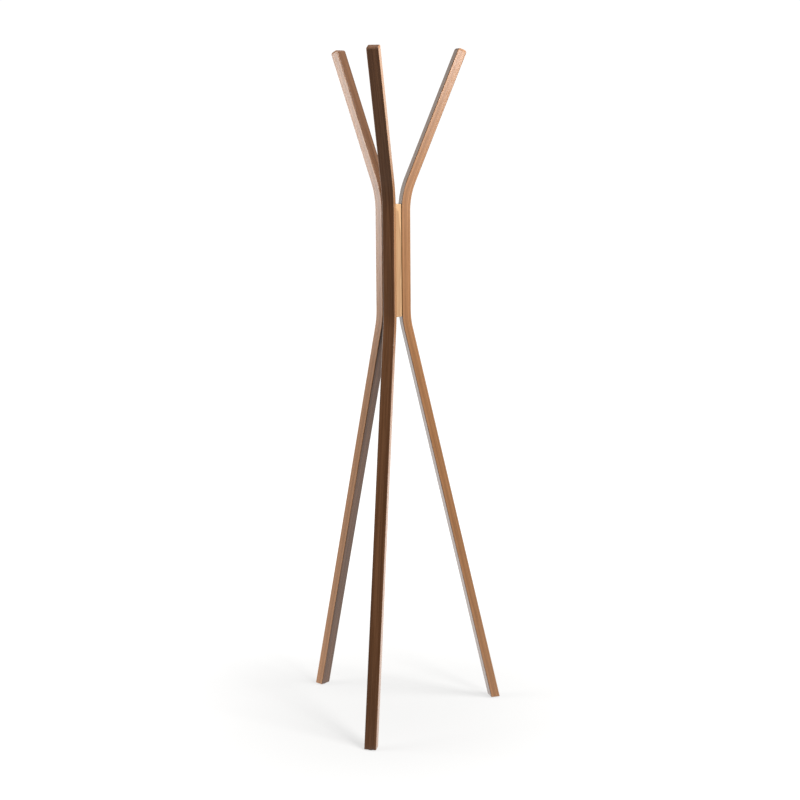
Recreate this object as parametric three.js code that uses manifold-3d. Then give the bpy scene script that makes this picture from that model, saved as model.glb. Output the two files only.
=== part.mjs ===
// A standing coat rack: three bent wooden bars stand back to back around a short wooden core.
// Each bar is one piece, splayed outwards below the core as a leg and above it as an arm.
// Dowels hold each bar to the core, and a nylon glide is nailed under each foot.
// Millimetres, +Z up. The floor is z = 0, and the front bar points to -Y.

import * as THREE from "three";
import { mergeVertices } from "three/addons/utils/BufferGeometryUtils.js";
import Module from "manifold-3d";

// Overall shape. The foot's radius is measured from the rack's axis to the middle of a leg.
const rackHeight = 1754;
const footRadius = 284;
const armSplayDegrees = 23;
const lowerBendHeight = 1062;
const upperBendHeight = 1384;

// Bar section and its curves.
const barWidth = 31;
const barThickness = 24;
const bendRadius = 205;
const arrisRadius = 2;
const tipCornerRadius = 5;

// Core: a six-sided post with three faces for the bars and three open faces between them.
const coreInradius = 20.7;
const coreFaceWidth = 27;
const coreBottomRise = 8;
const coreTopDrop = 23;
const coreEdgeRadius = 1.2;
const glueGap = 0.3;

// Dowels, two for each bar.
const dowelDiameter = 8;
const dowelChamfer = 1;
const dowelClearance = 0.3;
const dowelEndSpace = 0.8;
const dowelAxisSpace = 6;
const dowelCover = 9;
const dowelFromCoreEnd = 58;

// Glide and nail under each foot.
const glideMargin = 3;
const glideHeight = 2.4;
const glideEdgeRadius = 0.8;
const nailShankDiameter = 2;
const nailHeadDiameter = 6;
const nailLength = 19;
const nailPointLength = 4;
const nailHeadRim = 0.3;
const nailHeadThickness = 1.2;
const nailHeadRecess = 0.4;
const nailClearance = 0.3;
const footGap = 0.3;

// How finely the round shapes are faceted.
const bendSteps = 8;
const tipSteps = 4;
const arrisSteps = 3;
const coreEdgeSteps = 2;
const dowelSteps = 24;
const glideSteps = 32;
const nailHoleSteps = 24;
const nailSteps = 16;
const mergeTolerance = 1e-4;

const barAngles = { front: -90, right: 30, left: 150 };

const oak = { color: 0xd9ae7c, roughness: 0.55, metalness: 0 };
const walnut = { color: 0x7d5438, roughness: 0.48, metalness: 0 };
const beech = { color: 0xd8bd90, roughness: 0.7, metalness: 0 };
const nylon = { color: 0x2b2724, roughness: 0.45, metalness: 0 };
const steel = { color: 0xb4b6b8, roughness: 0.35, metalness: 1 };

const wasm = await Module();
wasm.setup();

// A closed three.js geometry as a manifold-3d solid.
function toSolid(geometry) {
  const bare = geometry.clone();
  bare.deleteAttribute("normal");
  bare.deleteAttribute("uv");
  const merged = mergeVertices(bare, mergeTolerance);
  return new wasm.Manifold(
    new wasm.Mesh({
      numProp: 3,
      vertProperties: merged.attributes.position.array,
      triVerts: new Uint32Array(merged.index.array),
    }),
  );
}

// A manifold-3d solid as a three.js geometry.
function toGeometry(solid) {
  const made = solid.getMesh();
  const geometry = new THREE.BufferGeometry();
  geometry.setAttribute("position", new THREE.BufferAttribute(made.vertProperties, 3));
  geometry.setIndex(new THREE.BufferAttribute(made.triVerts, 1));
  geometry.computeVertexNormals();
  return geometry;
}

function subtractAll(geometry, cutters) {
  const cut = cutters.reduce((solid, cutter) => solid.subtract(toSolid(cutter)), toSolid(geometry));
  return toGeometry(cut);
}

function namedMesh(name, geometry, finish) {
  const mesh = new THREE.Mesh(geometry, new THREE.MeshStandardMaterial(finish));
  mesh.name = name;
  return mesh;
}

// The middle line of a bar, in the plane of radius and height, from the floor to the tip.
// It ends below the rack's height, because the square-cut end rises towards the inner face.
const hubRadius = coreInradius + glueGap + barThickness / 2;
const footLevel = glideHeight + footGap;

function barMiddleLine() {
  const splay = THREE.MathUtils.degToRad(armSplayDegrees);
  const cornerRise = (barThickness / 2) * Math.sin(splay);
  const cornerLoss = tipCornerRadius * (Math.sin(splay) + Math.cos(splay) - 1);
  const tipHeight = rackHeight - cornerRise + cornerLoss;
  const tipRadius = hubRadius + (tipHeight - upperBendHeight) * Math.tan(splay);
  return [
    new THREE.Vector2(footRadius, 0),
    new THREE.Vector2(hubRadius, lowerBendHeight),
    new THREE.Vector2(hubRadius, upperBendHeight),
    new THREE.Vector2(tipRadius, tipHeight),
  ];
}

// The outward side of a line that runs upwards, as a unit vector.
function outwardOf(from, to) {
  const along = to.clone().sub(from).normalize();
  return new THREE.Vector2(along.y, -along.x);
}

// The corner of the line that lies beside a polyline's corner, at a distance to its outward side.
function offsetCorner(before, corner, after, distance) {
  const a = outwardOf(before, corner);
  const b = outwardOf(corner, after);
  const middle = a.clone().add(b).normalize();
  return corner.clone().addScaledVector(middle, distance / middle.dot(a));
}

// Where the line through two points meets a level.
function pointAtLevel(from, to, level) {
  return from.clone().lerp(to, (level - from.y) / (to.y - from.y));
}

// One side of the bar, from the foot up to the tip.
function barSide(distance) {
  const [foot, lowerBend, upperBend, tip] = barMiddleLine();
  const lower = offsetCorner(foot, lowerBend, upperBend, distance);
  const upper = offsetCorner(lowerBend, upperBend, tip, distance);
  const legFoot = foot.clone().addScaledVector(outwardOf(foot, lowerBend), distance);
  const armTip = tip.clone().addScaledVector(outwardOf(upperBend, tip), distance);
  return [pointAtLevel(legFoot, lower, footLevel), lower, upper, armTip];
}

// The points of a round corner: an arc that touches both sides.
function roundCorner(before, corner, after, radius, steps) {
  const a = before.clone().sub(corner).normalize();
  const b = after.clone().sub(corner).normalize();
  const halfAngle = Math.acos(THREE.MathUtils.clamp(a.dot(b), -1, 1)) / 2;
  const middle = a.clone().add(b).normalize();
  const centre = corner.clone().addScaledVector(middle, radius / Math.sin(halfAngle));
  const start = corner.clone().addScaledVector(a, radius / Math.tan(halfAngle)).sub(centre);
  const end = corner.clone().addScaledVector(b, radius / Math.tan(halfAngle)).sub(centre);
  const sweep = Math.atan2(start.x * end.y - start.y * end.x, start.dot(end));
  const points = [];
  for (let i = 0; i <= steps; i++) {
    points.push(start.clone().rotateAround(new THREE.Vector2(), (sweep * i) / steps).add(centre));
  }
  return points;
}

// The side view of a bar: two parallel sides with round bends, a square tip and a level foot.
function barOutline() {
  const [footOut, lowerOut, upperOut, tipOut] = barSide(barThickness / 2);
  const [footIn, lowerIn, upperIn, tipIn] = barSide(-barThickness / 2);
  const innerCurve = bendRadius + barThickness / 2;
  const outerCurve = bendRadius - barThickness / 2;
  return [
    footOut,
    ...roundCorner(footOut, lowerOut, upperOut, outerCurve, bendSteps),
    ...roundCorner(lowerOut, upperOut, tipOut, outerCurve, bendSteps),
    ...roundCorner(upperOut, tipOut, tipIn, tipCornerRadius, tipSteps),
    ...roundCorner(tipOut, tipIn, upperIn, tipCornerRadius, tipSteps),
    ...roundCorner(tipIn, upperIn, lowerIn, innerCurve, bendSteps),
    ...roundCorner(upperIn, lowerIn, footIn, innerCurve, bendSteps),
    footIn,
  ];
}

// An outline extruded to a thickness, with its edges rounded, centred on its own middle plane.
function roundedExtrusion(outline, thickness, edgeRadius, edgeSteps) {
  const depth = thickness - 2 * edgeRadius;
  const geometry = new THREE.ExtrudeGeometry(new THREE.Shape(outline), {
    depth,
    bevelEnabled: true,
    bevelThickness: edgeRadius,
    bevelSize: edgeRadius,
    bevelOffset: -edgeRadius,
    bevelSegments: edgeSteps,
  });
  return geometry.translate(0, 0, -depth / 2);
}

// A round cutter or pin that lies along X, from one radius to another, at a height.
function radialCylinder(radius, fromX, toX, height) {
  const cylinder = new THREE.CylinderGeometry(radius, radius, toX - fromX, dowelSteps);
  return cylinder.rotateZ(-Math.PI / 2).translate((fromX + toX) / 2, 0, height);
}

// Dowel places, shared by the bars, the core and the dowels.
const coreBottom = lowerBendHeight + coreBottomRise;
const coreTop = upperBendHeight - coreTopDrop;
const dowelHeights = {
  lower: coreBottom + dowelFromCoreEnd,
  upper: coreTop - dowelFromCoreEnd,
};
const dowelStart = dowelAxisSpace;
const dowelEnd = hubRadius + barThickness / 2 - dowelCover;

function dowelHole(height) {
  const radius = dowelDiameter / 2 + dowelClearance;
  return radialCylinder(radius, dowelStart - dowelEndSpace, dowelEnd + dowelEndSpace, height);
}

// The glide's centre: the middle of the foot's level face.
const [footOuterCorner] = barSide(barThickness / 2);
const [footInnerCorner] = barSide(-barThickness / 2);
const glideCentreRadius = (footOuterCorner.x + footInnerCorner.x) / 2;

// A shape turned about Z, from a closed half profile of [radius, height] points.
function turned(profile, steps) {
  const points = profile.map(([radius, height]) => new THREE.Vector2(radius, height));
  return new THREE.LatheGeometry(points, steps).rotateX(Math.PI / 2);
}

// Half the outline of a countersunk nail, or of the hole for it with a clearance all round.
function nailProfile(headBottom, pointLength, clearance) {
  const shank = nailShankDiameter / 2 + clearance;
  const head = nailHeadDiameter / 2 + clearance;
  const tip = nailHeadRecess + nailLength + clearance;
  return [
    [0, headBottom],
    [head, headBottom],
    [head, nailHeadRecess + nailHeadRim + clearance],
    [shank, nailHeadRecess + nailHeadThickness + clearance],
    [shank, tip - pointLength],
    [0, tip],
  ];
}

// The hole has a flat end, and opens downwards so that the nail can be driven in.
function nailHole() {
  const belowGlide = -1;
  return turned(nailProfile(belowGlide, 0, nailClearance), nailHoleSteps);
}

function bar() {
  const geometry = roundedExtrusion(barOutline(), barWidth, arrisRadius, arrisSteps);
  geometry.rotateX(Math.PI / 2);
  const holes = Object.values(dowelHeights).map(dowelHole);
  return subtractAll(geometry, [...holes, nailHole().translate(glideCentreRadius, 0, 0)]);
}

function core() {
  const outline = Object.values(barAngles).flatMap((degrees) => {
    const turn = THREE.MathUtils.degToRad(degrees);
    const corner = (side) => new THREE.Vector2(coreInradius, (side * coreFaceWidth) / 2);
    return [corner(-1), corner(1)].map((point) => point.rotateAround(new THREE.Vector2(), turn));
  });
  const height = coreTop - coreBottom;
  const post = roundedExtrusion(outline, height, coreEdgeRadius, coreEdgeSteps);
  post.translate(0, 0, (coreBottom + coreTop) / 2);
  const holes = Object.values(barAngles).flatMap((degrees) =>
    Object.values(dowelHeights).map((level) =>
      dowelHole(level).rotateZ(THREE.MathUtils.degToRad(degrees)),
    ),
  );
  return subtractAll(post, holes);
}

// A dowel along X with both ends chamfered.
function dowel(height) {
  const radius = dowelDiameter / 2;
  const half = (dowelEnd - dowelStart) / 2;
  const profile = [
    [0, -half],
    [radius - dowelChamfer, -half],
    [radius, dowelChamfer - half],
    [radius, half - dowelChamfer],
    [radius - dowelChamfer, half],
    [0, half],
  ];
  const pin = turned(profile, dowelSteps).rotateY(Math.PI / 2);
  return pin.translate((dowelStart + dowelEnd) / 2, 0, height);
}

// A flat disc with rounded edges and a countersunk hole for the nail.
function glide() {
  const radius = barThickness / 2 - glideMargin;
  const edge = glideEdgeRadius;
  const edgeMiddle = edge * (1 - Math.SQRT1_2);
  const profile = [
    [0, 0],
    [radius - edge, 0],
    [radius - edgeMiddle, edgeMiddle],
    [radius, edge],
    [radius, glideHeight],
    [0, glideHeight],
  ];
  const disc = turned(profile, glideSteps);
  return subtractAll(disc, [nailHole()]).translate(glideCentreRadius, 0, 0);
}

function glideNail() {
  const nail = turned(nailProfile(nailHeadRecess, nailPointLength, 0), nailSteps);
  return nail.translate(glideCentreRadius, 0, 0);
}

// One bar with its own dowels, glide and nail, turned to its place around the axis.
function barGroup(name, degrees) {
  const group = new THREE.Group();
  group.rotation.z = THREE.MathUtils.degToRad(degrees);
  group.add(namedMesh(`bar_${name}`, bar(), walnut));
  for (const [level, height] of Object.entries(dowelHeights)) {
    group.add(namedMesh(`dowel_${name}_${level}`, dowel(height), beech));
  }
  group.add(namedMesh(`glide_${name}`, glide(), nylon));
  group.add(namedMesh(`glide_nail_${name}`, glideNail(), steel));
  return group;
}

const rack = new THREE.Group();
rack.add(namedMesh("hub_core", core(), oak));
for (const [name, degrees] of Object.entries(barAngles)) {
  rack.add(barGroup(name, degrees));
}

// The origin is on the floor, in the middle of the rack's plan.
const plan = new THREE.Box3().setFromObject(rack, true).getCenter(new THREE.Vector3());
rack.position.set(-plan.x, -plan.y, 0);

export default rack;
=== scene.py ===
import math

import bmesh
import bpy
import numpy as np
from mathutils import Euler, Matrix, Vector


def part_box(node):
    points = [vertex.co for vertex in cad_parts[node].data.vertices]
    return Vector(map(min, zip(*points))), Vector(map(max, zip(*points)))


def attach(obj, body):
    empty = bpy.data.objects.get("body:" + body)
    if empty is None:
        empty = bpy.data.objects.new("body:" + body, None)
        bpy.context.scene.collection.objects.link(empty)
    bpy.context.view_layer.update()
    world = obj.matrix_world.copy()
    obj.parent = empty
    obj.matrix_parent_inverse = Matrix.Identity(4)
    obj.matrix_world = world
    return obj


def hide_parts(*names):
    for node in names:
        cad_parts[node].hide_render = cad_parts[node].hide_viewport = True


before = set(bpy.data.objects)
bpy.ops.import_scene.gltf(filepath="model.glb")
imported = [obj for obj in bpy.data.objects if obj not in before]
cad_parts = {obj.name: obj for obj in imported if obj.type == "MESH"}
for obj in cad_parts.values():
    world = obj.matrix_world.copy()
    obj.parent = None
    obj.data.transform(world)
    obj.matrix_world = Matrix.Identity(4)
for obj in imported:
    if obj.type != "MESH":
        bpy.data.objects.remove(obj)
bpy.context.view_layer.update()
print("frame loaded:", len(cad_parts), "nodes")

# Standing coat rack: three bent bars stand back to back round a short core. Metres, +Z up.

sides = ("front", "right", "left")
sideAngles = {"front": -90, "right": 30, "left": 150}


# The middle of a CAD node's box.
def middleOf(node):
    low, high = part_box(node)
    return (low + high) / 2


# The rack's upright axis stands in the middle of the three glides.
axis = sum((middleOf(f"glide_{side}") for side in sides), Vector()) / len(sides)
axisPlace = np.array([axis.x, axis.y, 0.0])


# Points set out along X are turned about the rack's axis to a bar's side:
# (x cos - y sin, x sin + y cos, z) plus the axis's place.
def placedRound(points, side):
    turn = math.radians(sideAngles[side])
    x = points[..., 0] * math.cos(turn) - points[..., 1] * math.sin(turn)
    y = points[..., 0] * math.sin(turn) + points[..., 1] * math.cos(turn)
    return np.stack([x, y, points[..., 2]], -1) + axisPlace


# Turns a closed mesh's faces outwards, smooths them and puts it in the scene.
def finished(name, mesh):
    work = bmesh.new()
    work.from_mesh(mesh)
    bmesh.ops.recalc_face_normals(work, faces=work.faces)
    work.to_mesh(mesh)
    work.free()
    mesh.shade_smooth()
    piece = bpy.data.objects.new(name, mesh)
    bpy.context.scene.collection.objects.link(piece)
    return piece


# Where the wood's fibres run: metres across, through and along the piece, kept at each point.
def writeGrain(mesh, grain):
    kept = mesh.attributes.new("grain", "FLOAT_VECTOR", "POINT")
    kept.data.foreach_set("vector", grain.astype(np.float32).ravel())


# Quads join each ring of points to the next one. Rings have the shape (rings, around, 3).
def ringQuads(index):
    nextOne = np.roll(index, -1, axis=1)
    return np.stack([index[:-1], nextOne[:-1], nextOne[1:], index[1:]], -1).reshape(-1, 4)


# The rings that close an end flat lie at these shares of its outline.
capShares = np.array([0.3, 0.7, 0.96])

# Points beside a corner stand this share of a side away from it, so the side shades flat.
besideCorner = 0.04


# A skin over rings of points. Each end closes in a fan round its ring's middle.
def closedSkin(name, rings, grain=None):
    count, around = rings.shape[:2]
    index = np.arange(count * around).reshape(count, around)
    nextOne = np.roll(index, -1, axis=1)
    firstMiddle, lastMiddle = count * around, count * around + 1
    first = np.stack([nextOne[0], index[0], np.full(around, firstMiddle)], -1)
    last = np.stack([index[-1], nextOne[-1], np.full(around, lastMiddle)], -1)
    points = np.concatenate([rings.reshape(-1, 3), [rings[0].mean(0), rings[-1].mean(0)]])
    mesh = bpy.data.meshes.new(name)
    mesh.from_pydata(points, [], ringQuads(index).tolist() + first.tolist() + last.tolist())
    if grain is not None:
        writeGrain(mesh, np.concatenate([grain.reshape(-1, 3), [grain[0].mean(0), grain[-1].mean(0)]]))
    return finished(name, mesh)


# A skin whose last ring joins its first, as on a washer.
def hollowSkin(name, rings):
    count, around = rings.shape[:2]
    index = np.arange(count * around).reshape(count, around)
    mesh = bpy.data.meshes.new(name)
    mesh.from_pydata(rings.reshape(-1, 3), [], ringQuads(np.concatenate([index, index[:1]])).tolist())
    return finished(name, mesh)


# How far a round edge draws the side in, at a distance from the end:
# the radius less the root of its square less the square of (radius - distance).
def quarterRound(distance, radius):
    rest = np.clip(radius - distance, 0, radius)
    return radius - np.sqrt(radius**2 - rest**2)


# Distances from a round end, closest together where it curves most: r (1 - cos).
def rimStations(radius, steps=7):
    return radius * (1 - np.cos(np.linspace(0, np.pi / 2, steps)))


# A profile of (radius, height) pairs turned about Z: (r cos, r sin, h) at equal angles.
def turned(profile, around):
    angle = np.linspace(0, 2 * np.pi, around, endpoint=False)
    radius, height = np.array(profile).T
    level = np.broadcast_to(height[:, None], (len(height), around))
    return np.stack([radius[:, None] * np.cos(angle), radius[:, None] * np.sin(angle), level], -1)


# An arc of a profile, between two angles in degrees: centre plus radius times (cos, sin).
def profileArc(centre, radius, start, end, steps=6):
    angle = np.radians(np.linspace(start, end, steps + 1))
    return [(centre[0] + radius * math.cos(a), centre[1] + radius * math.sin(a)) for a in angle]


# A finished piece gets its material and stands for a CAD node on the rack's one body.
def addPiece(piece, material, node):
    piece.data.materials.append(material)
    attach(piece, "root")
    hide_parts(node)


# A material, with its node tree and its surface shader.
def newMaterial(name):
    material = bpy.data.materials.new(name)
    material.use_nodes = True
    tree = material.node_tree
    return material, tree, tree.nodes["Principled BSDF"]


# Adds a node. Its inputs, by name or place, are numbers or other nodes' sockets.
def put(tree, kind, inputs=None, **settings):
    node = tree.nodes.new("ShaderNode" + kind)
    for key, value in settings.items():
        setattr(node, key, value)
    for key, value in (inputs or {}).items():
        if isinstance(value, bpy.types.NodeSocket):
            tree.links.new(value, node.inputs[key])
        else:
            node.inputs[key].default_value = value
    return node


# One step of arithmetic on sockets or numbers.
def sums(tree, operation, a, b=0.0, c=0.0):
    return put(tree, "Math", {0: a, 1: b, 2: c}, operation=operation).outputs[0]


# a times its share plus b times its share.
def weighed(tree, a, shareOfA, b, shareOfB):
    return sums(tree, "MULTIPLY_ADD", a, shareOfA, sums(tree, "MULTIPLY", b, shareOfB))


# A place scaled along each axis and then moved. A large scale makes a pattern fine.
def stretched(tree, vector, scale, place=(0, 0, 0)):
    return put(tree, "Mapping", {"Vector": vector, "Scale": scale, "Location": place}).outputs[0]


# Noise keeps mostly between these two levels.
noiseSpread = (0.3, 0.7)


def noise(tree, vector, detail=3.0, roughness=0.5, distortion=0.0):
    inputs = {
        "Vector": vector,
        "Scale": 1.0,
        "Detail": detail,
        "Roughness": roughness,
        "Distortion": distortion,
    }
    return put(tree, "TexNoise", inputs).outputs["Fac"]


# A smooth step between two levels, as the value goes from low to high.
def ramp(tree, value, low, high, toLow=0.0, toHigh=1.0):
    inputs = {"Value": value, 1: low, 2: high, 3: toLow, 4: toHigh}
    return put(tree, "MapRange", inputs, interpolation_type="SMOOTHSTEP").outputs[0]


# From colour a to colour b, as the factor goes from 0 to 1.
def blendColours(tree, factor, a, b):
    node = put(tree, "Mix", {"Factor": factor}, data_type="RGBA")
    for socket, value in ((node.inputs[6], a), (node.inputs[7], b)):
        if isinstance(value, bpy.types.NodeSocket):
            tree.links.new(value, socket)
        else:
            socket.default_value = (*value, 1)
    return node.outputs[2]


def scaleColour(tree, colour, factor):
    return put(tree, "VectorMath", {0: colour, 3: factor}, operation="SCALE").outputs[0]


def coated(tree, shader, colour, roughness):
    tree.links.new(colour, shader.inputs["Base Color"])
    tree.links.new(roughness, shader.inputs["Roughness"])


def raised(tree, shader, height, distance):
    bump = put(tree, "Bump", {"Height": height, "Distance": distance, "Strength": 1.0})
    tree.links.new(bump.outputs[0], shader.inputs["Normal"])


# Bent bar: its middle line is leg, bend, upright, bend and arm.
barShape = {
    "width": 0.031,
    "thickness": 0.024,
    "bendRadius": 0.205,
    "lowerBend": 1.062,
    "upperBend": 1.384,
    "armSplay": 23.0,
    "arris": 0.002,
    "tipRound": 0.007,
    "tipSideRound": 0.004,
    "footRound": 0.0006,
    "arrisSteps": 6,
    "flatSteps": 5,
    "straightStep": 0.012,
    "bendStep": 0.005,
    "levelCutReach": 0.08,
}

halfWidth, halfDepth = barShape["width"] / 2, barShape["thickness"] / 2
barLow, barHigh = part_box("bar_front")
footLevel = barLow.z
footRadius = axis.y - middleOf("glide_front").y
hubRadius = axis.y - barHigh.y + halfDepth
armSplay = math.radians(barShape["armSplay"])
legSplay = math.atan((footRadius - hubRadius) / (barShape["lowerBend"] - footLevel))
bendRadius = barShape["bendRadius"]
lowerTangent = bendRadius * math.tan(legSplay / 2)
upperTangent = bendRadius * math.tan(armSplay / 2)

# Lengths along the middle line, from the foot.
legLength = (barShape["lowerBend"] - footLevel) / math.cos(legSplay) - lowerTangent
hubStart = legLength + bendRadius * legSplay
hubLength = barShape["upperBend"] - barShape["lowerBend"] - lowerTangent - upperTangent
armStart = hubStart + hubLength + bendRadius * armSplay

# The arm's inner edge is the rack's highest point, so the tip's height gives the arm's length.
cornerRise = halfDepth * math.sin(armSplay)
cornerLoss = barShape["tipRound"] * (math.sin(armSplay) + math.cos(armSplay) - 1)
tipHeight = barHigh.z - cornerRise + cornerLoss
barLength = armStart + (tipHeight - barShape["upperBend"]) / math.cos(armSplay) - upperTangent


# A rectangle with round corners: corner centres, sliding along the flats, plus an arc of the radius.
def roundedSection(radius, arcSteps, flatSteps):
    centres, offsets = [], []
    corners = [(1, 1), (-1, 1), (-1, -1), (1, -1)]
    reach = np.array([halfWidth - radius, halfDepth - radius])
    for k, corner in enumerate(corners):
        angles = np.radians(90 * k) + np.linspace(0, np.pi / 2, arcSteps + 1)
        arc = radius * np.stack([np.cos(angles), np.sin(angles)], -1)
        here = np.array(corner) * reach
        there = np.array(corners[(k + 1) % 4]) * reach
        between = np.linspace(0, 1, flatSteps + 1)[1:-1]
        share = np.array([besideCorner, *between, 1 - besideCorner])[:, None]
        centres += [np.repeat(here[None], arcSteps + 1, 0), here * (1 - share) + there * share]
        offsets += [arc, np.repeat(arc[-1:], len(share), 0)]
    return np.concatenate(centres), np.concatenate(offsets)


# A place in the straight bar carried to the bent one. The heading turns from the leg's slope to upright
# and on to the arm's. Straight runs add their length times (sin, cos) of the heading, and bends add their
# radius times the change of (-cos, sin).
def alongBar(across, through, along):
    lowerTurn = np.clip((along - legLength) / bendRadius, 0, legSplay)
    upperTurn = np.clip((along - hubStart - hubLength) / bendRadius, 0, armSplay)
    heading = lowerTurn - legSplay + upperTurn
    onLeg = np.minimum(along, legLength)
    onHub = np.clip(along - hubStart, 0, hubLength)
    onArm = np.maximum(along - armStart, 0)
    bentOut = math.cos(legSplay) - np.cos(legSplay - lowerTurn) + 1 - np.cos(upperTurn)
    bentUp = math.sin(legSplay) - np.sin(legSplay - lowerTurn) + np.sin(upperTurn)
    radius = footRadius - onLeg * math.sin(legSplay) + onArm * math.sin(armSplay)
    radius = radius + bendRadius * bentOut
    height = footLevel + onLeg * math.cos(legSplay) + onHub + onArm * math.cos(armSplay)
    height = height + bendRadius * bentUp
    return np.stack([radius + through * np.cos(heading), across, height - through * np.sin(heading)], -1)


# Distances along the middle line: fine at the two ends and on the bends, wide on the straight stretches.
def barStations():
    marks = [0.0, legLength, hubStart, hubStart + hubLength, armStart, barLength]
    steps = [barShape["straightStep"], barShape["bendStep"]] * 2 + [barShape["straightStep"]]
    runs = [
        np.linspace(start, end, max(2, round((end - start) / step) + 1))
        for start, end, step in zip(marks[:-1], marks[1:], steps)
    ]
    rims = [rimStations(barShape["footRound"]), barLength - rimStations(barShape["tipRound"])]
    return np.unique(np.round(np.concatenate(runs + rims), 7))


# Each bar is cut from another stretch of wood, this many metres on. The lead is less than the gap between
# two bars, so a bar's foot never falls in the stretch before.
grainStep = 4
grainLead = 0.5


# The rounded section, carried along the middle line. Its ends draw in as quarter rounds, and the foot is
# cut level: there each line of the bar starts where its own height reaches the floor level.
def bentBar(side, number):
    centres, offsets = roundedSection(barShape["arris"], barShape["arrisSteps"], barShape["flatSteps"])
    stations = barStations()
    fromTip = barLength - stations
    foot = quarterRound(stations, barShape["footRound"])
    drawIn = np.stack([
        quarterRound(fromTip, barShape["tipSideRound"]) + foot,
        quarterRound(fromTip, barShape["tipRound"]) + foot,
    ], -1)
    caps = len(capShares)
    shrink = np.concatenate([capShares, np.ones(len(stations)), capShares[::-1]])
    stations = np.concatenate([np.zeros(caps), stations, np.full(caps, barLength)])
    drawIn = np.concatenate([drawIn[:1].repeat(caps, 0), drawIn, drawIn[-1:].repeat(caps, 0)])
    section = centres[None] * (1 - drawIn / np.abs(centres).max(0))[:, None] + offsets[None]
    section = section * shrink[:, None, None]
    across, through = section[..., 0], section[..., 1]
    fade = np.clip(1 - stations / barShape["levelCutReach"], 0, 1)[:, None]
    along = stations[:, None] - through * math.tan(legSplay) * fade
    rings = placedRound(alongBar(across, through, along), side)
    grain = np.stack([across, through, along + grainStep * number], -1)
    return closedSkin(f"bent_bar_{side}", rings, grain)


barWood = {
    "faceDark": (0.034, 0.0136, 0.0052),
    "faceLight": (0.070, 0.0310, 0.0136),
    "edgeDark": (0.124, 0.056, 0.0225),
    "edgeLight": (0.221, 0.107, 0.046),
    "facingDepth": 0.0010,
    "facingEdge": 0.0002,
    "layer": 0.0015,
    "layerCut": (0.15, 0.85),
    "glueCut": (0.02, 0.09),
    "glueShade": (0.80, 1.0),
    "figureScale": (150, 150, 2.2),
    "fibreScale": (900, 900, 9),
    "poreScale": (3200, 3200, 90),
    "poreCut": (0.62, 0.72),
    "poreShade": 0.22,
    "broadScale": (20, 20, 1.1),
    "broadShade": (0.92, 1.08),
    "rubbedFrom": 0.0016,
    "rubbedTo": 0.0006,
    "rubbedCut": (0.45, 0.65),
    "rubbedLift": 0.25,
    "rubbedDullness": 0.08,
    "gloss": 0.25,
    "roughness": (0.24, 0.36),
    "tipDullness": 0.3,
    "bump": 0.00005,
}


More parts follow.
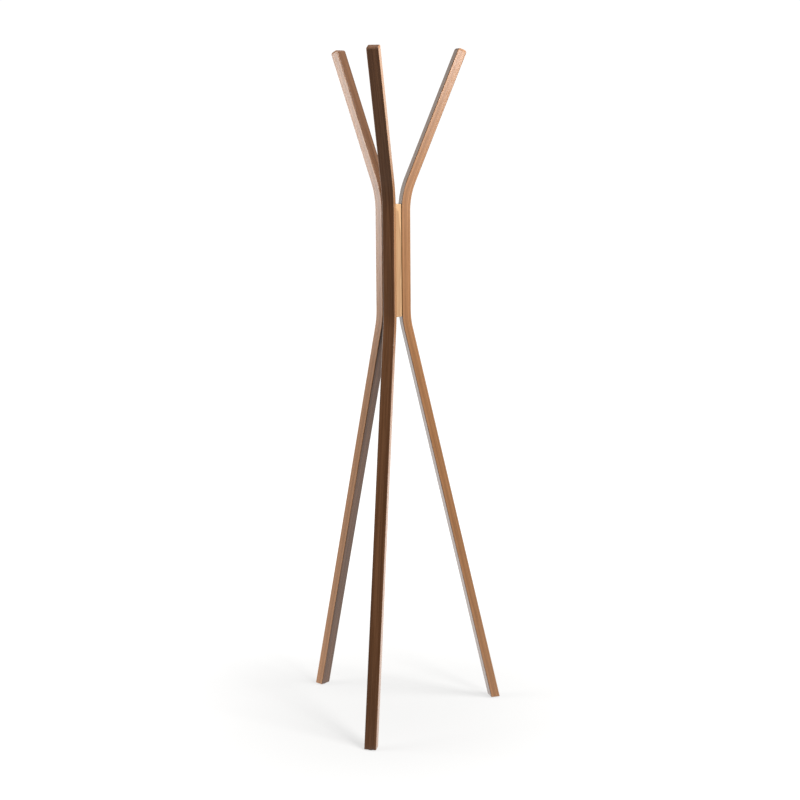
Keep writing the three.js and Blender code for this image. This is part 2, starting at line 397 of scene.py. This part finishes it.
# Bent layers of wood. A dark facing goes round the outside, the tip and the inside, and the layers'
# lighter edges show at the two sides. How deep a place lies below the side view's outline tells the
# facing from the layers: round the tip that outline is an arc, so the depth is taken from the arc's middle.
def barMaterial():
    look = barWood
    material, tree, shader = newMaterial("satin_bentwood")
    grain = put(tree, "Attribute", attribute_name="grain").outputs["Vector"]
    across, through, along = put(tree, "SeparateXYZ", {0: grain}).outputs

    # Wide figure, long fibres and fine pores, all drawn out along the bar.
    figurePlace = stretched(tree, grain, look["figureScale"])
    figure = noise(tree, figurePlace, detail=4, roughness=0.55, distortion=0.6)
    fibre = noise(tree, stretched(tree, grain, look["fibreScale"]), detail=3, roughness=0.6)
    pores = noise(tree, stretched(tree, grain, look["poreScale"]), detail=1)
    pores = ramp(tree, pores, *look["poreCut"])
    broad = noise(tree, stretched(tree, grain, look["broadScale"]), detail=2)

    # Each layer has its own tone, and a fine glue line parts it from the next.
    layerPlace = sums(tree, "DIVIDE", through, look["layer"])
    layer = put(tree, "TexWhiteNoise", {"W": sums(tree, "FLOOR", layerPlace)}, noise_dimensions="1D")
    fromGlue = sums(tree, "PINGPONG", layerPlace, 0.5)
    glue = ramp(tree, fromGlue, *look["glueCut"], *look["glueShade"])

    # The facing lies outside a core, which is the side view drawn in by the tip's rounding.
    tip = barShape["tipRound"]
    sideways, deepways = sums(tree, "ABSOLUTE", across), sums(tree, "ABSOLUTE", through)
    led = sums(tree, "FLOORED_MODULO", sums(tree, "ADD", along, grainLead), grainStep)
    onBar = sums(tree, "SUBTRACT", led, grainLead)
    thick = sums(tree, "MAXIMUM", sums(tree, "SUBTRACT", deepways, halfDepth - tip), 0.0)
    beyond = sums(tree, "MAXIMUM", sums(tree, "SUBTRACT", onBar, barLength - tip), 0.0)
    squares = sums(tree, "MULTIPLY_ADD", thick, thick, sums(tree, "MULTIPLY", beyond, beyond))
    start, blur = tip - look["facingDepth"], look["facingEdge"]
    facing = ramp(tree, sums(tree, "SQRT", squares), start - blur, start + blur)

    faceTone = ramp(tree, weighed(tree, figure, 0.7, fibre, 0.3), *noiseSpread)
    faceColour = blendColours(tree, faceTone, look["faceDark"], look["faceLight"])
    edgeTone = ramp(tree, weighed(tree, fibre, 0.65, layer.outputs["Value"], 0.35), *look["layerCut"])
    edgeColour = scaleColour(tree, blendColours(tree, edgeTone, look["edgeDark"], look["edgeLight"]), glue)
    colour = blendColours(tree, facing, edgeColour, faceColour)
    colour = scaleColour(tree, colour, ramp(tree, broad, *noiseSpread, *look["broadShade"]))
    colour = scaleColour(tree, colour, sums(tree, "MULTIPLY_ADD", pores, -look["poreShade"], 1.0))

    # The arrises are rubbed a little lighter and duller in places.
    nearSide = ramp(tree, sideways, halfWidth - look["rubbedFrom"], halfWidth - look["rubbedTo"])
    nearFace = ramp(tree, deepways, halfDepth - look["rubbedFrom"], halfDepth - look["rubbedTo"])
    onArris = sums(tree, "MULTIPLY", nearSide, nearFace)
    rubbed = sums(tree, "MULTIPLY", onArris, ramp(tree, figure, *look["rubbedCut"]))
    colour = scaleColour(tree, colour, sums(tree, "MULTIPLY_ADD", rubbed, look["rubbedLift"], 1.0))

    # The tip takes less polish than the long faces.
    dull = ramp(tree, fibre, *noiseSpread, *look["roughness"])
    dull = weighed(tree, dull, 1.0, rubbed, look["rubbedDullness"])
    dull = sums(tree, "MULTIPLY_ADD", ramp(tree, beyond, 0.0, tip / 3), look["tipDullness"], dull)
    coated(tree, shader, colour, dull)
    shader.inputs["Specular IOR Level"].default_value = look["gloss"]
    raised(tree, shader, weighed(tree, fibre, 0.5, pores, -0.6), look["bump"])
    return material


barFinish = barMaterial()
for number, side in enumerate(sides):
    addPiece(bentBar(side, number), barFinish, f"bar_{side}")
print("bars made")


# Core: a six-sided post with slightly round corners and ends.
coreShape = {
    "inradius": 0.0207,
    "faceWidth": 0.027,
    "cornerRound": 0.0008,
    "endRound": 0.0012,
    "arcSteps": 4,
    "flatEnd": 0.003,
    "levels": 30,
}

coreWood = {
    "dark": (0.165, 0.090, 0.040),
    "light": (0.280, 0.170, 0.086),
    "ring": 0.0035,
    "lateWoodCut": (0.35, 0.95),
    "toneCut": (0.1, 0.8),
    "pith": (-0.085, 0.05),
    "wobble": 2.6,
    "wobbleScale": (22, 22, 2.0),
    "fibreScale": (1100, 1100, 14),
    "gloss": 0.3,
    "roughness": (0.34, 0.46),
    "bump": 0.00005,
}


# Six corners, two beside each bar. Each one is an arc between the normals of its two sides.
def coreOutline():
    corners = []
    for side in sides:
        turn = math.radians(sideAngles[side])
        for across in (-coreShape["faceWidth"] / 2, coreShape["faceWidth"] / 2):
            corners.append((
                coreShape["inradius"] * math.cos(turn) - across * math.sin(turn),
                coreShape["inradius"] * math.sin(turn) + across * math.cos(turn),
            ))
    corners = np.array(sorted(corners, key=lambda corner: math.atan2(corner[1], corner[0])))
    before = corners - np.roll(corners, 1, axis=0)
    after = np.roll(corners, -1, axis=0) - corners
    before /= np.linalg.norm(before, axis=1)[:, None]
    after /= np.linalg.norm(after, axis=1)[:, None]
    startNormal = np.stack([before[:, 1], -before[:, 0]], -1)
    endNormal = np.stack([after[:, 1], -after[:, 0]], -1)
    middle = startNormal + endNormal
    middle /= (middle * startNormal).sum(1)[:, None]
    centre = corners - coreShape["cornerRound"] * middle
    share = np.linspace(0, 1, coreShape["arcSteps"] + 1)[None, :, None]
    normal = startNormal[:, None] * (1 - share) + endNormal[:, None] * share
    normal /= np.linalg.norm(normal, axis=2)[..., None]
    arcs = centre[:, None] + coreShape["cornerRound"] * normal
    nextStart = np.roll(arcs[:, 0], -1, axis=0)[:, None]
    flat = np.array([besideCorner, 0.35, 0.65, 1 - besideCorner])[None, :, None]
    return np.concatenate([arcs, arcs[:, -1:] * (1 - flat) + nextStart * flat], 1).reshape(-1, 2)


# The outline carried up the axis. Each end draws in as a quarter round, then closes flat.
def corePost():
    low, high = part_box("hub_core")
    outline = coreOutline()
    rim = rimStations(coreShape["endRound"])
    between = np.linspace(low.z + coreShape["flatEnd"], high.z - coreShape["flatEnd"], coreShape["levels"])
    levels = np.concatenate([low.z + rim, between, high.z - rim[::-1]])
    drawIn = quarterRound(np.minimum(levels - low.z, high.z - levels), coreShape["endRound"])
    shrink = 1 - drawIn / np.linalg.norm(outline, axis=1).mean()
    caps = len(capShares)
    levels = np.concatenate([np.full(caps, low.z), levels, np.full(caps, high.z)])
    shrink = np.concatenate([capShares * shrink[0], shrink, capShares[::-1] * shrink[-1]])
    flat = outline[None] * shrink[:, None, None]
    height = np.broadcast_to(levels[:, None, None], (*flat.shape[:2], 1))
    return closedSkin("core_post", np.concatenate([flat, height], -1) + axisPlace)


# A solid block sawn lengthwise: growth rings about a pith that lies outside it.
def coreMaterial():
    look = coreWood
    material, tree, shader = newMaterial("pale_core_wood")
    place = put(tree, "TexCoord").outputs["Object"]
    pithX, pithY = look["pith"]
    centred = stretched(tree, place, (1, 1, 1), (pithX - axis.x, pithY - axis.y, 0))
    wobble = noise(tree, stretched(tree, centred, look["wobbleScale"]))
    level = stretched(tree, centred, (1, 1, 0))
    radius = put(tree, "VectorMath", {0: level}, operation="LENGTH").outputs["Value"]
    ringPlace = weighed(tree, radius, 1 / look["ring"], wobble, look["wobble"])
    lateWood = ramp(tree, sums(tree, "FRACT", ringPlace), *look["lateWoodCut"])
    fibre = noise(tree, stretched(tree, centred, look["fibreScale"]), roughness=0.6)
    tone = sums(tree, "ADD", weighed(tree, fibre, 0.6, lateWood, -0.35), 0.35)
    colour = blendColours(tree, ramp(tree, tone, *look["toneCut"]), look["dark"], look["light"])
    coated(tree, shader, colour, ramp(tree, fibre, *noiseSpread, *look["roughness"]))
    shader.inputs["Specular IOR Level"].default_value = look["gloss"]
    raised(tree, shader, fibre, look["bump"])
    return material


addPiece(corePost(), coreMaterial(), "hub_core")
print("core made")


# Dowels: fluted beech pins that lie along the radius, two behind each bar.
dowelShape = {
    "flutes": 20,
    "fluteDepth": 0.00022,
    "stepsPerFlute": 6,
    "chamfer": 0.001,
    "chamferSteps": 4,
    "straightEnd": 0.002,
    "stations": 12,
}

dowelWood = {
    "dark": (0.44, 0.28, 0.15),
    "light": (0.62, 0.44, 0.27),
    "fleck": (0.33, 0.19, 0.10),
    "fibreScale": (1400, 1400, 40),
    "fleckScale": (2600, 2600, 420),
    "fleckCut": (0.66, 0.74),
    "roughness": (0.55, 0.7),
    "bump": 0.00004,
}


# The radius is the dowel's own, less a ripple round it, and a straight chamfer at each end.
def flutedDowel(side, level):
    name = f"dowel_{side}_{level}"
    low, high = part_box(f"dowel_front_{level}")
    start, end = axis.y - high.y, axis.y - low.y
    radius = (high.z - low.z) / 2
    chamfer, straightEnd = dowelShape["chamfer"], dowelShape["straightEnd"]
    rim = np.linspace(0, chamfer, dowelShape["chamferSteps"])
    between = np.linspace(start + straightEnd, end - straightEnd, dowelShape["stations"])
    station = np.concatenate([start + rim, between, end - rim[::-1]])
    angle = np.linspace(0, 2 * np.pi, dowelShape["flutes"] * dowelShape["stepsPerFlute"], endpoint=False)
    nearEnd = np.minimum(station - start, end - station)
    ripple = dowelShape["fluteDepth"] * (1 + np.cos(dowelShape["flutes"] * angle)) / 2
    reach = radius - np.clip(chamfer - nearEnd, 0, chamfer)[:, None] - ripple[None]
    x = np.broadcast_to(station[:, None], reach.shape)
    y, z = reach * np.cos(angle), reach * np.sin(angle)
    points = np.stack([x, y, z + (low.z + high.z) / 2], -1)
    grain = np.stack([y, z, x + sides.index(side)], -1)
    return closedSkin("fluted_" + name, placedRound(points, side), grain)


# Pale beech with its short dark flecks.
def dowelMaterial():
    look = dowelWood
    material, tree, shader = newMaterial("fluted_beech")
    grain = put(tree, "Attribute", attribute_name="grain").outputs["Vector"]
    fibre = noise(tree, stretched(tree, grain, look["fibreScale"]), roughness=0.6)
    fleck = noise(tree, stretched(tree, grain, look["fleckScale"]), detail=1)
    fleck = ramp(tree, fleck, *look["fleckCut"])
    colour = blendColours(tree, ramp(tree, fibre, *noiseSpread), look["dark"], look["light"])
    colour = blendColours(tree, fleck, colour, look["fleck"])
    coated(tree, shader, colour, ramp(tree, fibre, *noiseSpread, *look["roughness"]))
    raised(tree, shader, fibre, look["bump"])
    return material


dowelFinish = dowelMaterial()
for side in sides:
    for level in ("lower", "upper"):
        addPiece(flutedDowel(side, level), dowelFinish, f"dowel_{side}_{level}")
print("dowels made")


# Glide under each foot, and the countersunk nail that holds it.
glideShape = {
    "lowerRound": 0.0008,
    "upperRound": 0.0003,
    "headSeat": 0.0033,
    "headSeatTop": 0.0010,
    "shankSeat": 0.0013,
    "shankSeatBottom": 0.0019,
    "seatRound": 0.0001,
    "mouthBevel": 0.0004,
    "mouthHeight": 0.0003,
    "around": 72,
}

nylonLook = {
    "dark": (0.012, 0.010, 0.009),
    "light": (0.026, 0.023, 0.020),
    "speckleScale": (4200, 4200, 4200),
    "cloudScale": (260, 260, 260),
    "scratchScale": (3000, 180, 900),
    "scratchCut": (0.56, 0.70),
    "wornFrom": 0.0007,
    "wornFully": 0.0002,
    "roughness": (0.38, 0.56),
    "bump": 0.00002,
}

nailShape = {
    "headRim": 0.0003,
    "headDepth": 0.0012,
    "headArris": 0.00006,
    "neck": 1.08,
    "neckLength": 0.0002,
    "shank": 0.001,
    "shankSteps": 10,
    "point": 0.004,
    "pointSteps": 8,
    "tip": 0.04,
    "dish": 0.00012,
    "around": 40,
}

steelLook = {
    "dark": (0.36, 0.37, 0.38),
    "light": (0.60, 0.61, 0.62),
    "drawnScale": (6000, 6000, 120),
    "dullScale": (420, 420, 420),
    "toneCut": (0.35, 0.65),
    "roughness": (0.24, 0.42),
    "bump": 0.00001,
}


# A washer's closed profile turned about Z: round outer edges, and a cone that seats the nail's head.
def mouldedGlide(side):
    low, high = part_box("glide_front")
    radius, top = (high.x - low.x) / 2, high.z - low.z
    lower, upper, seat = glideShape["lowerRound"], glideShape["upperRound"], glideShape["seatRound"]
    headSeat, shankSeat = glideShape["headSeat"], glideShape["shankSeat"]
    profile = [
        (headSeat + glideShape["mouthBevel"], 0.0),
        ((headSeat + radius) / 2, 0.0),
        *profileArc((radius - lower, lower), lower, -90, 0),
        *profileArc((radius - upper, top - upper), upper, 0, 90),
        ((shankSeat + radius) / 2, top),
        *profileArc((shankSeat + seat, top - seat), seat, 90, 180, 2),
        (shankSeat, glideShape["shankSeatBottom"]),
        (headSeat, glideShape["headSeatTop"]),
        (headSeat, glideShape["mouthHeight"]),
    ]
    place = np.array([axis.y - middleOf("glide_front").y, 0, low.z])
    rings = placedRound(turned(profile, glideShape["around"]) + place, side)
    return hollowSkin(f"moulded_glide_{side}", rings)


# A flat head with a slight dish, a cone under it, a straight shank and a point, turned about Z.
def drivenNail(side):
    low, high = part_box("glide_nail_front")
    length, head = high.z - low.z, (high.x - low.x) / 2
    shank, dish, arris = nailShape["shank"], nailShape["dish"], nailShape["headArris"]
    shankStart, shankEnd = nailShape["headDepth"] + nailShape["neckLength"], length - nailShape["point"]
    point = np.linspace(1, nailShape["tip"], nailShape["pointSteps"])
    profile = [
        *[(head * share, dish * (1 - share**2)) for share in (0.1, 0.4, 0.7, 0.9)],
        (head - arris, 0.0),
        (head, arris),
        (head, nailShape["headRim"]),
        (shank * nailShape["neck"], nailShape["headDepth"]),
        *[(shank, level) for level in np.linspace(shankStart, shankEnd, nailShape["shankSteps"])],
        *[(shank * share, length - nailShape["point"] * share) for share in point[1:]],
    ]
    place = np.array([axis.y - middleOf("glide_nail_front").y, 0, low.z])
    rings = placedRound(turned(profile, nailShape["around"]) + place, side)
    return closedSkin(f"driven_nail_{side}", rings)


# Moulded nylon: a fine spark-eroded grain, duller and paler in scratches where it slides on the floor.
def glideMaterial():
    look = nylonLook
    material, tree, shader = newMaterial("moulded_nylon")
    place = put(tree, "TexCoord").outputs["Object"]
    speckle = noise(tree, stretched(tree, place, look["speckleScale"]), detail=2)
    cloud = noise(tree, stretched(tree, place, look["cloudScale"]))
    scratch = noise(tree, stretched(tree, place, look["scratchScale"]), detail=2)
    level = put(tree, "SeparateXYZ", {0: place}).outputs["Z"]
    touching = ramp(tree, level, look["wornFully"], look["wornFrom"], 1.0, 0.0)
    worn = sums(tree, "MULTIPLY", ramp(tree, scratch, *look["scratchCut"]), touching)
    tone = weighed(tree, ramp(tree, cloud, *noiseSpread), 0.5, worn, 0.9)
    dull = weighed(tree, ramp(tree, speckle, *noiseSpread, *look["roughness"]), 1.0, worn, 0.2)
    coated(tree, shader, blendColours(tree, tone, look["dark"], look["light"]), dull)
    raised(tree, shader, weighed(tree, speckle, 1.0, worn, -0.5), look["bump"])
    return material


# Drawn steel wire: fine bands, with a faint dullness over it.
def nailMaterial():
    look = steelLook
    material, tree, shader = newMaterial("drawn_steel")
    place = put(tree, "TexCoord").outputs["Object"]
    drawn = noise(tree, stretched(tree, place, look["drawnScale"]), detail=2)
    dullness = noise(tree, stretched(tree, place, look["dullScale"]))
    tone = weighed(tree, drawn, 0.5, dullness, 0.5)
    colour = blendColours(tree, ramp(tree, tone, *look["toneCut"]), look["dark"], look["light"])
    coated(tree, shader, colour, ramp(tree, tone, *look["toneCut"], *look["roughness"]))
    shader.inputs["Metallic"].default_value = 1.0
    raised(tree, shader, drawn, look["bump"])
    return material


glideFinish, nailFinish = glideMaterial(), nailMaterial()
for side in sides:
    addPiece(mouldedGlide(side), glideFinish, f"glide_{side}")
    addPiece(drivenNail(side), nailFinish, f"glide_nail_{side}")
print("glides and nails made")


# Floor and the light all round. Reaches are distances from the frame's origin, and forward is the way the
# camera looks.
stageLook = {
    "floorSize": 60.0,
    "floorColour": (0.09, 0.0895, 0.088, 1),
    "nearGlowPaintedShade": 0.66,
    "farGlow": 1.05,
    "glowReach": (0.0, 1.6),
    "floorCast": (0.20, 2.2),
    "floorCastReach": (-1.4, 0.8),
    "background": 1.05,
    "castColour": (1, 0.95, 0.88),
    "forward": (-0.221, 0.975, 0.0),
    "frontLight": 0.035,
    "backLight": 2.0,
    "upperLight": 0.9,
    "lightFade": (0.02, 0.45),
    "frontFade": (-0.35, 0.45),
}


# How far a place or a direction lies forward.
def ahead(tree, vector):
    inputs = {0: vector, 1: stageLook["forward"]}
    return put(tree, "VectorMath", inputs, operation="DOT_PRODUCT").outputs["Value"]


# One strength for the white that is seen, and another for the light that it throws on the rack.
def seenOrCast(tree, seen, cast):
    isSeen = put(tree, "LightPath").outputs["Is Camera Ray"]
    return put(tree, "Mix", {"Factor": isSeen, "A": cast, "B": seen}, data_type="FLOAT").outputs[0]


# A flat square that glows, dimmer near the rack as painted shade under it, so the rack's cast shadows show
# on it.
def makeFloor():
    look = stageLook
    half = look["floorSize"] / 2
    corners = [(-half, -half, 0), (half, -half, 0), (half, half, 0), (-half, half, 0)]
    mesh = bpy.data.meshes.new("floor")
    mesh.from_pydata(corners, [], [(0, 1, 2, 3)])
    floor = bpy.data.objects.new("floor", mesh)
    bpy.context.scene.collection.objects.link(floor)
    material, tree, shader = newMaterial("pale_floor")
    shader.inputs["Base Color"].default_value = look["floorColour"]
    shader.inputs["Roughness"].default_value = 1.0
    shader.inputs["Specular IOR Level"].default_value = 0.0
    shader.inputs["Emission Color"].default_value = (1, 1, 1, 1)
    place = put(tree, "TexCoord").outputs["Object"]
    distance = put(tree, "VectorMath", {0: place}, operation="LENGTH").outputs["Value"]
    # Painted shade: the glow seen is lowest at the rack and rises outwards.
    seen = ramp(tree, distance, *look["glowReach"], look["nearGlowPaintedShade"], look["farGlow"])
    cast = ramp(tree, ahead(tree, place), *look["floorCastReach"], *look["floorCast"])
    tree.links.new(seenOrCast(tree, seen, cast), shader.inputs["Emission Strength"])
    floor.data.materials.append(material)


# White all round to the eye. The light it casts is warm, and dim from behind the camera.
def makeWorld():
    look = stageLook
    world = bpy.data.worlds.new("studio")
    world.use_nodes = True
    bpy.context.scene.world = world
    tree = world.node_tree
    direction = put(tree, "TexCoord").outputs["Generated"]
    level = put(tree, "SeparateXYZ", {0: direction}).outputs["Z"]
    behind = ramp(tree, level, *look["lightFade"], look["backLight"], look["upperLight"])
    share = ramp(tree, ahead(tree, direction), *look["frontFade"])
    mixed = put(tree, "Mix", {"Factor": share, "A": look["frontLight"], "B": behind}, data_type="FLOAT")
    strength = seenOrCast(tree, look["background"], mixed.outputs[0])
    tree.links.new(strength, tree.nodes["Background"].inputs["Strength"])
    isSeen = put(tree, "LightPath").outputs["Is Camera Ray"]
    tint = blendColours(tree, isSeen, look["castColour"], (1, 1, 1))
    tree.links.new(tint, tree.nodes["Background"].inputs["Color"])


# Each soft panel: azimuth and elevation seen from the rack, distance, width, height, power and aim height.
panels = {
    "key": {
        "azimuth": -16,
        "elevation": 61,
        "distance": 3.6,
        "size": (1.1, 1.1),
        "watts": 330,
        "aim": 0.9,
    },
    "leftFill": {
        "azimuth": -163,
        "elevation": 10,
        "distance": 2.8,
        "size": (1.6, 1.6),
        "watts": 122,
        "aim": 1.15,
    },
    "rightSheen": {
        "azimuth": -43,
        "elevation": 9,
        "distance": 3.2,
        "size": (0.7, 0.5),
        "watts": 150,
        "aim": 1.75,
    },
}


# A soft panel faces the rack's axis at its aim height, and only its light is seen.
def makePanel(name, look):
    light = bpy.data.lights.new(name, "AREA")
    light.shape = "RECTANGLE"
    light.size, light.size_y = look["size"]
    light.energy = look["watts"]
    lamp = bpy.data.objects.new(name, light)
    bpy.context.scene.collection.objects.link(lamp)
    turn, rise = math.radians(look["azimuth"]), math.radians(look["elevation"])
    way = Vector((math.cos(turn) * math.cos(rise), math.sin(turn) * math.cos(rise), math.sin(rise)))
    lamp.location = Vector((axis.x, axis.y, look["aim"])) + way * look["distance"]
    lamp.rotation_euler = (-way).to_track_quat("-Z", "Y").to_euler()
    lamp.visible_camera = False


# Degrees and metres, with the lens and the sensor in millimetres.
viewpoint = {
    "azimuth": -77.267,
    "offAxis": 0.01761,
    "distance": 3.9893,
    "height": 1.5779,
    "tilt": 9.412,
    "roll": -0.416,
    "lens": 69.54,
    "sensor": 36,
    "shift": -0.0319,
}


# The camera stands at a distance from the rack's axis, a little to the side of it, and looks down.
def makeCamera():
    data = bpy.data.cameras.new("camera")
    data.sensor_width = viewpoint["sensor"]
    data.lens = viewpoint["lens"]
    data.shift_y = viewpoint["shift"]
    data.dof.use_dof = False
    camera = bpy.data.objects.new("camera", data)
    bpy.context.scene.collection.objects.link(camera)
    turn = math.radians(viewpoint["azimuth"])
    back = Vector((math.cos(turn), math.sin(turn), 0))
    rightWay = Vector((-math.sin(turn), math.cos(turn), 0))
    camera.location = axis + back * viewpoint["distance"] + rightWay * viewpoint["offAxis"]
    camera.location.z = viewpoint["height"]
    level = Euler((math.radians(90 - viewpoint["tilt"]), 0, turn + math.pi / 2)).to_matrix()
    camera.rotation_euler = (level @ Matrix.Rotation(math.radians(viewpoint["roll"]), 3, "Z")).to_euler()
    bpy.context.scene.camera = camera


makeFloor()
makeWorld()
for name, look in panels.items():
    makePanel(name, look)
makeCamera()
bpy.context.scene.view_settings.view_transform = "Standard"
print("stage set")
